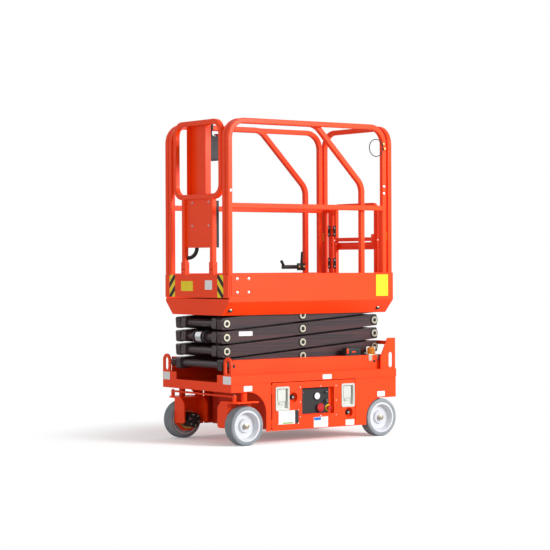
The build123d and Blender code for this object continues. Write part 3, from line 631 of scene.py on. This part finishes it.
# %% [markdown]
# ## The ground controls
#
# The recess holds a dark board with a meter, a toggle, a key switch, a red mushroom button and a small red
# knob on a yellow ring. Each is a short spun profile, which is how such parts are really turned or moulded.

# %% Fit the ground controls
board_y = pan_back + 0.0025
meter, key_switch, toggle = (-0.023, 0.278), (-0.088, 0.298), (-0.090, 0.245)
stop_button, knob = (-0.042, 0.206), (-0.112, 0.200)
knob_scale = 0.62
meter_height = 0.006
mushroom = ((0.011, 0.0), (0.011, 0.006), (0.026, 0.008), (0.027, 0.013), (0.024, 0.017), (0.0, 0.019))


def on_board(place, height=0.0):
    """A point above the board, from its X and Z."""
    return place[0], board_y + height, place[1]


board = bmesh.new()
rounded_plate(board, "Y", (-0.006, panel_middle[1]), (0.224, 0.160), 0.004, (pan_back, board_y))
for place, radius, height in ((meter, 0.0265, meter_height), (key_switch, 0.009, 0.006),
                              (toggle, 0.014, 0.009), (stop_button, 0.015, 0.008)):
    turned(board, on_board(place), to_left, ((radius, 0.0), (radius, height * 0.8),
                                             (radius * 0.92, height), (0.0, height)))
ship(board, "control_board", "console", "door_left")
dial = bmesh.new()
turned(dial, on_board(meter, meter_height), to_left, ((0.0, 0.0012), (0.020, 0.0012), (0.021, 0.0)))
ship(dial, "meter_dial", "label", "door_left")
buttons = bmesh.new()
turned(buttons, on_board(stop_button, 0.003), to_left, mushroom)
turned(buttons, on_board(knob, 0.002), to_left, [(r * knob_scale, h) for r, h in mushroom])
for place, size in (((0.086, 0.304), 0.004), ((-0.118, 0.318), 0.003)):
    rivet(buttons, on_board(place), to_left, size)
ship(buttons, "red_buttons", "red", "door_left")
yellow_ring = bmesh.new()
turned(yellow_ring, on_board(knob), to_left, ((0.0, 0.003), (0.021, 0.003), (0.022, 0.0)))
ship(yellow_ring, "button_ring", "yellow", "door_left")
keys = bmesh.new()
round_bar(keys, on_board(key_switch, 0.006), on_board((-0.091, 0.303), 0.018), 0.0028, 0.0036, sides=16)
brick(keys, on_board((-0.0915, 0.236), 0.008), on_board((-0.0885, 0.254), 0.021))
ship(keys, "switch_levers", "steel", "door_left")
print("ground controls on a board", round(board_y, 4), "m out")

# %% [markdown]
# ## Rivets and blank labels
#
# The words on the real labels belong to nobody's part library, so every label here is bare: a thin white or
# yellow plate with round corners. Rivets hold the recess, and beside a dark strip lies a slip of paper
# with a green foot. Labels on the outermost faces stand a hair proud of them, because two faces in one
# plane would flicker.

# %% Stick on rivets and labels
rivet_places = ((0.123, 0.339), (-0.038, 0.340), (-0.160, 0.339), (0.123, 0.247), (-0.160, 0.247),
                (0.124, 0.155), (-0.037, 0.155), (-0.160, 0.155),
                (0.139, 0.199), (0.293, 0.199), (0.139, 0.118), (0.293, 0.118))
rivet_size = 0.0042
rivets = bmesh.new()
for x, z in rivet_places:
    rivet(rivets, (x, skin_y, z), to_left, rivet_size)
ship(rivets, "door_rivets", "steel", "door_left")

label_thickness = 0.0006
label_corner = 0.004
proud = 0.0001


def labels(name, finish_name, body, axis, face, spots):
    """Thin plates on one face. A spot is (low u, high u, low z, high z)."""
    mesh = bmesh.new()
    span = sorted((face, face + math.copysign(label_thickness, face)))
    for low_u, high_u, low_z, high_z in spots:
        rounded_plate(mesh, axis, ((low_u + high_u) / 2, (low_z + high_z) / 2),
                      (high_u - low_u, high_z - low_z), label_corner, span)
    ship(mesh, name, finish_name, body)


side_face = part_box("upper_frame")[1][1] - label_thickness + proud
front_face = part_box("front_channel")[1][0] - label_thickness + proud
print_face = skin_y + label_thickness
labels("door_labels", "label", "door_left", "Y", skin_y,
       ((-0.094, 0.019, 0.083, 0.148), (-0.305, -0.235, 0.084, 0.120), (0.166, 0.292, 0.116, 0.200)))
labels("door_window_end", "console", "door_left", "Y", skin_y, ((0.137, 0.165, 0.116, 0.200),))
labels("door_label_foot", "green", "door_left", "Y", print_face, ((0.180, 0.262, 0.119, 0.127),))
labels("door_label_corner", "blue", "door_left", "Y", print_face, ((-0.038, 0.017, 0.128, 0.146),))
labels("plate_labels", "label", "chassis", "Y", skin_y,
       ((-0.558, -0.495, 0.254, 0.288), (0.492, 0.555, 0.331, 0.364)))
labels("band_label", "label", "chassis", "Y", side_face, ((-0.120, -0.049, 0.384, 0.413),))
labels("corner_labels", "label", "chassis", "X", front_face,
       ((-0.376, -0.300, 0.376, 0.425), (0.291, 0.376, 0.376, 0.425)))
print("blank labels on the door, plates, band and corners")

# %% [markdown]
# ## The platform's plates and stripes
#
# The toe board carries a bare yellow plate at the rear and a bolted orange plate at the front. The front
# panel has its two striped corners and two bare plates where the real machine shows marks. Below, on the
# skirt, sit two dark bosses with their nuts.

# %% Dress the toe boards
panel_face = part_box("extension_deck")[1][0]
toe_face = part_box("platform_frame")[1][1]
labels("front_stripes", "stripes", "extension", "X", panel_face,
       ((0.233, 0.296, 0.902, 1.042), (-0.300, -0.238, 0.902, 1.042)))
labels("front_yellow_plate", "yellow", "extension", "X", panel_face, ((-0.168, -0.036, 0.940, 1.002),))
labels("front_white_plate", "label", "extension", "X", panel_face, ((0.098, 0.176, 0.950, 1.008),))
labels("toe_yellow_plate", "yellow", "platform", "Y", toe_face, ((-0.607, -0.508, 0.899, 1.037),))

joint_face = toe_face + 0.004
joint_plate = bmesh.new()
rounded_plate(joint_plate, "Y", (0.553, 0.975), (0.150, 0.124), 0.006, (toe_face, joint_face))
ship(joint_plate, "toe_joint_plate", "orange", "platform")
toe_bolts = bmesh.new()
for x in (0.500, 0.585):
    for z in (0.934, 1.016):
        bolt(toe_bolts, (x, joint_face, z), to_left, 0.010)
ship(toe_bolts, "toe_joint_bolts", "steel", "platform")

skirt_y = 0.296
boss_z = 0.828
boss_height = 0.012
boss_profile = ((0.0, boss_height), (0.014, boss_height), (0.0165, 0.009), (0.0165, 0.0))
bosses, boss_nuts = bmesh.new(), bmesh.new()
for x in (0.602, -0.561):
    turned(bosses, (x, skirt_y, boss_z), to_left, boss_profile)
    bolt(boss_nuts, (x, skirt_y + boss_height, boss_z), to_left, 0.009)
ship(bosses, "skirt_bosses", "black", "platform")
ship(boss_nuts, "skirt_boss_nuts", "zinc", "platform")
print("toe boards dressed, front panel face at", round(panel_face, 4))

# %% [markdown]
# ## The pins of the scissor stack
#
# Every arm turns on a plated pin with a hexagon socket in its head and a dark washer behind it. There are many
# of them, and their places would be dull to type. The imported pins are separate islands in a mesh, so a short
# walk from corner to corner finds each island and its box. On each head that reaches the outer arms, a thin
# black hexagon stands for the socket: painted shade where the recess looks dark.

# %% Find the pins and give them sockets
def islands(node):
    """The lowest and highest corner of each separate solid in a node."""
    mesh = bmesh.new()
    mesh.from_mesh(frame["nodes"][node].data)
    bmesh.ops.remove_doubles(mesh, verts=mesh.verts, dist=weld_distance)
    mesh.verts.ensure_lookup_table()
    seen_corners, boxes = set(), []
    for corner in mesh.verts:
        if corner.index in seen_corners:
            continue
        waiting, found = [corner], []
        seen_corners.add(corner.index)
        while waiting:
            here = waiting.pop()
            found.append(here.co.copy())
            for side in here.link_edges:
                there = side.other_vert(here)
                if there.index not in seen_corners:
                    seen_corners.add(there.index)
                    waiting.append(there)
        along_axes = list(zip(*found))
        boxes.append(([min(values) for values in along_axes], [max(values) for values in along_axes]))
    mesh.free()
    return boxes


outer_head_y = 0.25
socket_radius, socket_height = 0.0140, 0.0006
washer_set_back = 0.0066
washer_profile = ((0.0225, 0.0), (0.0300, 0.0), (0.0300, 0.0020), (0.0225, 0.0028))
pin_count = 0
for level in (1, 2, 3, 4):
    socket_shade_discs, washers = bmesh.new(), bmesh.new()
    for low, high in islands(f"pins_{level}"):
        for side, head in ((1, high[1]), (-1, low[1])):
            if side * head < outer_head_y:
                continue
            pin_count += 1
            out = Vector((0, side, 0))
            head_at = Vector(((low[0] + high[0]) / 2, head, (low[2] + high[2]) / 2))
            # A thin black hexagon on the head: painted shade for the socket's recess.
            round_bar(socket_shade_discs, head_at, head_at + out * socket_height, socket_radius, sides=6, edge=0.0001)
            turned(washers, head_at - out * washer_set_back, out, washer_profile)
    ship(socket_shade_discs, f"pin_socket_shades_{level}", "black", f"outer_{level}")
    ship(washers, f"pin_washers_{level}", "black", f"outer_{level}")
arm_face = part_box("outer_arms_3")[1][1]
labels("arm_label", "label", "outer_3", "Y", arm_face, ((0.402, 0.505, 0.664, 0.692),))
print(pin_count, "pin heads")

# %% [markdown]
# ## Wheels
#
# The tyres are grey, non-marking rubber with fine grooves across the tread. Cutting so many grooves would
# cost many faces for something a finger can barely feel, so they are bump: the angle around the axle feeds a
# sine wave, and a test on the distance from the axle keeps it off the side walls. Each wheel has its own
# centre, so each gets its own copy of the rubber. The hub nut, with a sleeve over the spindle, is a real
# shape.

# %% Groove the tyres and fit the hub nuts
groove_count = 110.0
groove_depth, groove_strength = 0.0016, 0.9
tread_start = 0.1175
spindle_sleeve = 0.0158
sleeve_length = 0.040
hub_y = 0.3722


def grooved_rubber(name, centre):
    material = finish(name, **rubber)
    tree = material.node_tree
    link = tree.links.new
    fine = next(n for n in tree.nodes if n.type == "BUMP")
    spot = add_node(tree, "TexCoord")
    shifted = add_node(tree, "VectorMath", {1: (centre[0], 0.0, centre[2])}, operation="SUBTRACT")
    link(spot.outputs["Object"], shifted.inputs[0])
    flat = add_node(tree, "VectorMath", {1: (1.0, 0.0, 1.0)}, operation="MULTIPLY")
    link(shifted.outputs[0], flat.inputs[0])
    away = add_node(tree, "VectorMath", operation="LENGTH")
    link(flat.outputs[0], away.inputs[0])
    axes = add_node(tree, "SeparateXYZ")
    link(shifted.outputs[0], axes.inputs[0])
    angle = reckon(tree, "ARCTAN2", axes.outputs["Z"], axes.outputs["X"])
    wave = reckon(tree, "SINE", reckon(tree, "MULTIPLY", angle, groove_count))
    on_tread = reckon(tree, "GREATER_THAN", away.outputs["Value"], tread_start)
    grooves = add_node(tree, "Bump", {"Strength": groove_strength, "Distance": groove_depth})
    link(reckon(tree, "MULTIPLY", wave, on_tread), grooves.inputs["Height"])
    link(fine.outputs["Normal"], grooves.inputs["Normal"])
    link(grooves.outputs["Normal"], tree.nodes["Principled BSDF"].inputs["Normal"])
    return material


for place_name in ("front_left", "front_right", "rear_left", "rear_right"):
    low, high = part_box(f"tyre_{place_name}")
    centre = [(a + b) / 2 for a, b in zip(low, high)]
    tyre_data = frame["nodes"][f"tyre_{place_name}"].data
    tyre_data.materials[0] = grooved_rubber(f"grooved_rubber_{place_name}", centre)
    out = Vector((0, math.copysign(1, centre[1]), 0))
    hub = Vector((centre[0], math.copysign(hub_y, centre[1]), centre[2]))
    nut = bmesh.new()
    turned(nut, hub, out, ((spindle_sleeve, -sleeve_length), (spindle_sleeve, 0.0), (0.0, 0.0005)))
    round_bar(nut, hub, hub + out * 0.0016, 0.0175)
    round_bar(nut, hub + out * 0.0016, hub + out * 0.0066, 0.0125, sides=6)
    ship(nut, f"hub_nut_{place_name}", "zinc", f"wheel_{place_name}")
print("four grooved tyres")

# %% [markdown]
# ## Steering and drive
#
# Under the front channel sit the tie bar and the two drive motors. Each motor gets a brass-coloured flange
# with four bolts and a black cap with six, and the tie bar gets a bolt at either end.

# %% Fit the front axle's small parts
flange_thickness, cap_lip = 0.012, 0.002
flange_profile = ((0.046, 0.0), (0.061, 0.0), (0.062, 0.002), (0.062, 0.010), (0.060, flange_thickness),
                  (0.046, flange_thickness))
cap_profile = ((0.043, -0.02), (0.0475, -0.02), (0.0475, -0.002), (0.044, cap_lip), (0.026, cap_lip),
               (0.024, 0.005), (0.0, 0.005))
motor_bolt_size = 0.007


def bolt_circle(mesh, centre, out, count, radius, start):
    """Bolts evenly spaced on a circle that stands square to Y."""
    for step in range(count):
        a = step * 2 * math.pi / count + start
        spot = (centre[0] + radius * math.cos(a), centre[1], centre[2] + radius * math.sin(a))
        bolt(mesh, spot, out, motor_bolt_size)


for side, hand in ((1, "left"), (-1, "right")):
    motor_low, motor_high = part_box(f"drive_motor_{hand}")
    axle_x = (motor_low[0] + motor_high[0]) / 2
    axle_z = (motor_low[2] + motor_high[2]) / 2
    inner_y = side * min(abs(motor_low[1]), abs(motor_high[1]))
    outer_y = side * max(abs(motor_low[1]), abs(motor_high[1]))
    inward = Vector((0, -side, 0))
    knuckle_body = f"knuckle_{hand}"
    flange, cap, motor_bolts = bmesh.new(), bmesh.new(), bmesh.new()
    turned(flange, (axle_x, outer_y, axle_z), inward, flange_profile)
    ship(flange, f"motor_flange_{hand}", "brass", knuckle_body)
    turned(cap, (axle_x, inner_y, axle_z), inward, cap_profile)
    ship(cap, f"motor_cap_{hand}", "black", knuckle_body)
    bolt_circle(motor_bolts, (axle_x, inner_y - side * cap_lip, axle_z), inward, 6, 0.035, 0.3)
    bolt_circle(motor_bolts, (axle_x, outer_y - side * flange_thickness, axle_z), inward, 4, 0.054, 0.8)
    ship(motor_bolts, f"motor_bolts_{hand}", "zinc", knuckle_body)

bar_low, bar_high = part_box("tie_bar")
tie_pin_y = 0.34
tie_bolts = bmesh.new()
for y in (-tie_pin_y, tie_pin_y):
    bolt(tie_bolts, ((bar_low[0] + bar_high[0]) / 2, y, bar_high[2]), to_top, 0.012)
ship(tie_bolts, "tie_bar_bolts", "zinc", "tie_bar")
print("front axle dressed")

# %% [markdown]
# ## Lamp and sounder on the slide channel
#
# Near the rear corner a zinc bracket holds an amber flashing lamp, and beside it sits a black sounder with
# orange marks. The lamp is spun on the lathe in one profile, ribs included. The imported model keeps a plain
# block at the sounder's place, and the sounder stands for it. Thin black discs on the channel's face are
# painted shade: they stand where its holes look dark inside.

# %% Mount the lamp and the sounder
channel_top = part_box("upper_frame")[1][2]
channel_face = 0.3402
plate_thickness = 0.003
lamp_x, lamp_y = -0.500, 0.304
hoop_ends, hoop_top, hoop_wire = (-0.534, -0.466), channel_top + 0.050, 0.0035
lamp = bmesh.new()
ribs = [(0.026 + (0.0014 if step % 2 else 0.0), 0.006 + step * 0.005) for step in range(7)]
lamp_profile = [(0.0, 0.0), (0.029, 0.0), (0.029, 0.005), *ribs, (0.020, 0.044), (0.0, 0.048)]
turned(lamp, (lamp_x, lamp_y, channel_top + 0.006), to_top, lamp_profile)
ship(lamp, "beacon_lens", "amber", "chassis")
hoop = bmesh.new()
for x in hoop_ends:
    round_bar(hoop, (x, lamp_y, channel_top + 0.004), (x, lamp_y, hoop_top), hoop_wire)
round_bar(hoop, (hoop_ends[0], lamp_y, hoop_top), (hoop_ends[1], lamp_y, hoop_top), hoop_wire)
ship(hoop, "beacon_hoop", "latch", "chassis")

bracket = bmesh.new()
brick(bracket, (-0.548, 0.276, channel_top), (-0.452, channel_face + plate_thickness, channel_top + 0.004))
for low_x, high_x in ((-0.548, -0.520), (-0.480, -0.452)):
    rounded_plate(bracket, "Y", ((low_x + high_x) / 2, channel_top - 0.017), (high_x - low_x, 0.038), 0.004,
                  (channel_face, channel_face + plate_thickness))
ship(bracket, "beacon_bracket", "zinc", "chassis")

sounder = bmesh.new()
brick(sounder, (-0.396, 0.286, channel_top), (-0.276, 0.334, channel_top + 0.052), 0.009)
brick(sounder, (-0.404, 0.282, channel_top), (-0.268, 0.338, channel_top + 0.008), 0.003)
sounder_piece = ship(sounder, "sounder", "console", "chassis")
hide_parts("warning_light")
flashes = bmesh.new()
flash_span = (0.3338, 0.3346)
rounded_plate(flashes, "Y", (-0.286, channel_top + 0.030), (0.014, 0.030), 0.003, flash_span)
rounded_plate(flashes, "Y", (-0.336, channel_top + 0.024), (0.030, 0.007), 0.002, flash_span)
ship(flashes, "sounder_marks", "orange", "chassis")

# Painted shade: black discs where the channel's holes look dark inside.
hole_shade_discs = bmesh.new()
for x, z, radius in ((0.605, 0.485, 0.011), (-0.552, 0.486, 0.010), (-0.500, 0.480, 0.010),
                     (-0.440, 0.487, 0.004)):
    turned(hole_shade_discs, (x, channel_face - 0.0004, z), to_left,
           ((0.0, 0.0008), (radius, 0.0008), (radius, 0.0)))
ship(hole_shade_discs, "channel_hole_shade_discs", "black", "chassis")
print("lamp, hoop, bracket and sounder at height", round(channel_top, 3))

# %% [markdown]
# ## The gate
#
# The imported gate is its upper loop. The lower half, two stiles, a flat bar with a latch and a toe plate, is
# added here and rides with it, so it swings as one. Each hinge has two black leaves: one is bolted to the
# post and stays, the other is bolted to the stile, thin enough to pass the post when the gate swings. A
# yellow strip marks the post on either side.

# %% Complete the gate
(gate_rear_x, _, frame_bottom), (gate_front_x, _, _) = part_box("gate")
gate_x = (gate_rear_x + gate_front_x) / 2
stile_y, stile_half = 0.2095, 0.0125
gate_foot_z = 0.915
lower_gate = bmesh.new()
for y in (-stile_y, stile_y):
    brick(lower_gate, (gate_x - stile_half, y - stile_half, gate_foot_z),
          (gate_x + stile_half, y + stile_half, frame_bottom + 0.004), 0.004)
brick(lower_gate, (gate_x - stile_half, -stile_y, 1.200), (gate_x - 0.0065, stile_y, 1.248), 0.001)
brick(lower_gate, (gate_x - 0.003, -stile_y, gate_foot_z), (gate_x + 0.001, stile_y, 1.045), 0.001)
ship(lower_gate, "gate_lower", "orange", "gate")
latch_case = bmesh.new()
brick(latch_case, (gate_x + stile_half, 0.186, 1.215), (gate_x + 0.026, 0.222, 1.300), 0.004)
ship(latch_case, "gate_latch_case", "orange", "gate")

hinge_feet, leaf_height = (1.290, 1.075), 0.070
leaf_bolt_rises, leaf_bolt_size = (0.014, 0.056), 0.007
gate_leaf = (gate_x + 0.0126, gate_x + 0.0165)
post_leaf = (gate_x + 0.0161, gate_x + 0.0200)
hinge_halves = (("gate", "gate", gate_leaf, (-0.2245, -0.196), -0.205),
                ("post", "platform", post_leaf, (-0.277, -0.252), -0.264))
for name, body, leaf, sides, _ in hinge_halves:
    leaves = bmesh.new()
    for z in hinge_feet:
        brick(leaves, (leaf[0], sides[0], z), (leaf[1], sides[1], z + leaf_height), 0.001)
    ship(leaves, f"{name}_hinge_leaves", "black", body)
for name, body, leaf, _, bolt_y in hinge_halves:
    leaf_bolts = bmesh.new()
    for z in hinge_feet:
        for rise in leaf_bolt_rises:
            bolt(leaf_bolts, (leaf[1], bolt_y, z + rise), to_front, leaf_bolt_size)
    ship(leaf_bolts, f"{name}_leaf_bolts", "steel", body)
yellow_strips = bmesh.new()
for y in (-0.333, 0.333):
    rounded_plate(yellow_strips, "X", (y, 1.285), (0.016, 0.056), 0.002, (-0.6096, -0.6090))
ship(yellow_strips, "post_strips", "yellow", "platform")
print("gate completed down to", gate_foot_z)

# %% [markdown]
# ## Rails: bolts, clips and the lanyard ring
#
# Bolts hold the guard rails at their folds and the sheet at the front. At the near rear corner a ring of
# coated steel wire hangs from brass clips. It is stiff enough to keep its shape, so it is a plain torus.

# %% Bolt the rails
rail_radius = 0.019
rails_low, rails_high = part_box("side_rails")
rail_y = rails_high[1]
rear_post_x = rails_low[0] + rail_radius
front_post_x = rails_high[0] - rail_radius
rail_bolts = bmesh.new()
for x, z in ((rear_post_x, 1.558), (front_post_x, 1.554), (rear_post_x, 1.602)):
    for side in (-1, 1):
        bolt(rail_bolts, (x, side * rail_y, z), (0, side, 0), 0.010)
ship(rail_bolts, "rail_bolts", "steel", "platform")


def wire_ring(mesh, middle, radius, wire, sides=56, around=10):
    """A closed ring of round wire standing in the XZ plane."""
    loops = []
    for step in range(sides):
        a = 2 * math.pi * step / sides
        loop = []
        for small in range(around):
            b = 2 * math.pi * small / around
            reach = radius + wire * math.cos(b)
            loop.append(mesh.verts.new((middle[0] + reach * math.cos(a), middle[1] + wire * math.sin(b),
                                        middle[2] + reach * math.sin(a))))
        loops.append(loop)
    for step in range(sides):
        bridge(mesh, loops[step], loops[(step + 1) % sides])


near_ring = bmesh.new()
wire_ring(near_ring, (-0.508, rail_y + 0.004, 1.850), 0.055, 0.0028)
ship(near_ring, "lanyard_ring", "console", "platform")
clips = bmesh.new()
for x, z in ((rear_post_x + 0.008, 1.876), (rear_post_x, 1.846)):
    round_bar(clips, (x, rail_y, z), (x, rail_y + 0.012, z), 0.0065)
    round_bar(clips, (x, rail_y + 0.006, z - 0.012), (x, rail_y + 0.006, z + 0.010), 0.0035)
ship(clips, "lanyard_clips", "brass", "platform")

panel_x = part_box("front_panel")[1][0]
panel_bolts = bmesh.new()
for y, z in ((-0.068, 1.490), (0.113, 1.490), (0.112, 1.344), (-0.068, 1.344)):
    bolt(panel_bolts, (panel_x, y, z), to_front, 0.008)
ship(panel_bolts, "panel_bolts", "steel", "front_rail")
print("rails bolted, ring hung")

# %% [markdown]
# ## The handle that frees the extension
#
# Inside the far rail a black handle with brass bolts lets the deck roll out. It is a flat bar with an
# upright grip.

# %% Fit the extension handle
handle = bmesh.new()
brick(handle, (-0.405, -0.276, 1.074), (-0.215, -0.266, 1.100), 0.003)
brick(handle, (-0.405, -0.281, 1.064), (-0.345, -0.262, 1.112), 0.004)
round_bar(handle, (-0.376, -0.270, 1.100), (-0.384, -0.270, 1.188), 0.008)
round_bar(handle, (-0.232, -0.270, 1.094), (-0.210, -0.270, 1.128), 0.008, 0.010)
ship(handle, "extension_handle", "black", "extension")
handle_bolts = bmesh.new()
for x in (-0.395, -0.355):
    bolt(handle_bolts, (x, -0.262, 1.088), to_left, 0.008)
ship(handle_bolts, "extension_handle_bolts", "brass", "extension")
print("handle at the far rail")

# %% [markdown]
# ## The console
#
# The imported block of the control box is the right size. A joystick, a red stop button and a bare white
# plate make it read as a control box from the operator's side.

# %% Dress the console
console_low, console_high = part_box("console")
console_mid_z = (console_low[2] + console_high[2]) / 2
controls = bmesh.new()
stick_foot = Vector((console_low[0] + 0.045, -0.045, console_high[2]))
turned(controls, stick_foot, to_top, ((0.022, 0.0), (0.020, 0.006), (0.012, 0.014), (0.007, 0.020),
                                         (0.007, 0.045), (0.014, 0.052), (0.016, 0.075), (0.011, 0.088),
                                         (0.0, 0.091)))
ship(controls, "console_joystick", "console", "front_rail")
stop = bmesh.new()
turned(stop, (console_low[0] + 0.060, 0.050, console_high[2]), to_top, [(r * 0.9, h) for r, h in mushroom])
ship(stop, "console_stop_button", "red", "front_rail")
labels_on_console = bmesh.new()
rounded_plate(labels_on_console, "X", (0.0, console_mid_z), (0.120, 0.060), 0.004,
              (console_low[0] - 0.0006, console_low[0]))
ship(labels_on_console, "console_plate", "label", "front_rail")
print("console dressed")

# %% [markdown]
# ## The hose below the black box
#
# A corrugated black hose leaves the bottom of the black box and curves back to the far leg. It is barely four
# diameters long and held at both ends, so it behaves as a moulded elbow and not as a free cord. Its few
# points steer a smooth curve with a round bevel, and the corrugation is a fine wave in its bump.

# %% Hang the hose
hose_diameter = 0.024
hose_points = ((0.593, -0.071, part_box("cable_box")[0][2]), (0.593, -0.074, 1.192), (0.596, -0.086, 1.170),
               (0.603, -0.104, 1.154), (0.610, -0.122, 1.147), (0.614, -0.1385, 1.146))
hose_curve = bpy.data.curves.new("box_hose", "CURVE")
hose_curve.dimensions = "3D"
hose_curve.bevel_depth = hose_diameter / 2
hose_curve.bevel_resolution = 6
hose_curve.use_fill_caps = True
hose_line = hose_curve.splines.new("NURBS")
hose_line.points.add(len(hose_points) - 1)
for point, place_at in zip(hose_line.points, hose_points):
    point.co = (*place_at, 1)
hose_line.order_u = 3
hose_line.use_endpoint_u = True
hose_line.resolution_u = 12
hose_length = sum((Vector(b) - Vector(a)).length for a, b in zip(hose_points, hose_points[1:]))


def corrugated():
    material = finish("corrugated_hose", (0.014, 0.014, 0.015), (0.022, 0.022, 0.023), (0.4, 0.55))
    tree = material.node_tree
    link = tree.links.new
    spot = add_node(tree, "TexCoord")
    wave = add_node(tree, "TexWave", {"Scale": 55.0}, bands_direction="DIAGONAL")
    bump = add_node(tree, "Bump", {"Strength": 0.8, "Distance": 0.0015})
    link(spot.outputs["Object"], wave.inputs["Vector"])
    link(wave.outputs["Fac"], bump.inputs["Height"])
    link(bump.outputs["Normal"], tree.nodes["Principled BSDF"].inputs["Normal"])
    return material


hose_curve.materials.append(corrugated())
hose = place_object("box_hose", hose_curve)
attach(hose, "front_rail")
print("hose", round(hose_length, 3), "m")
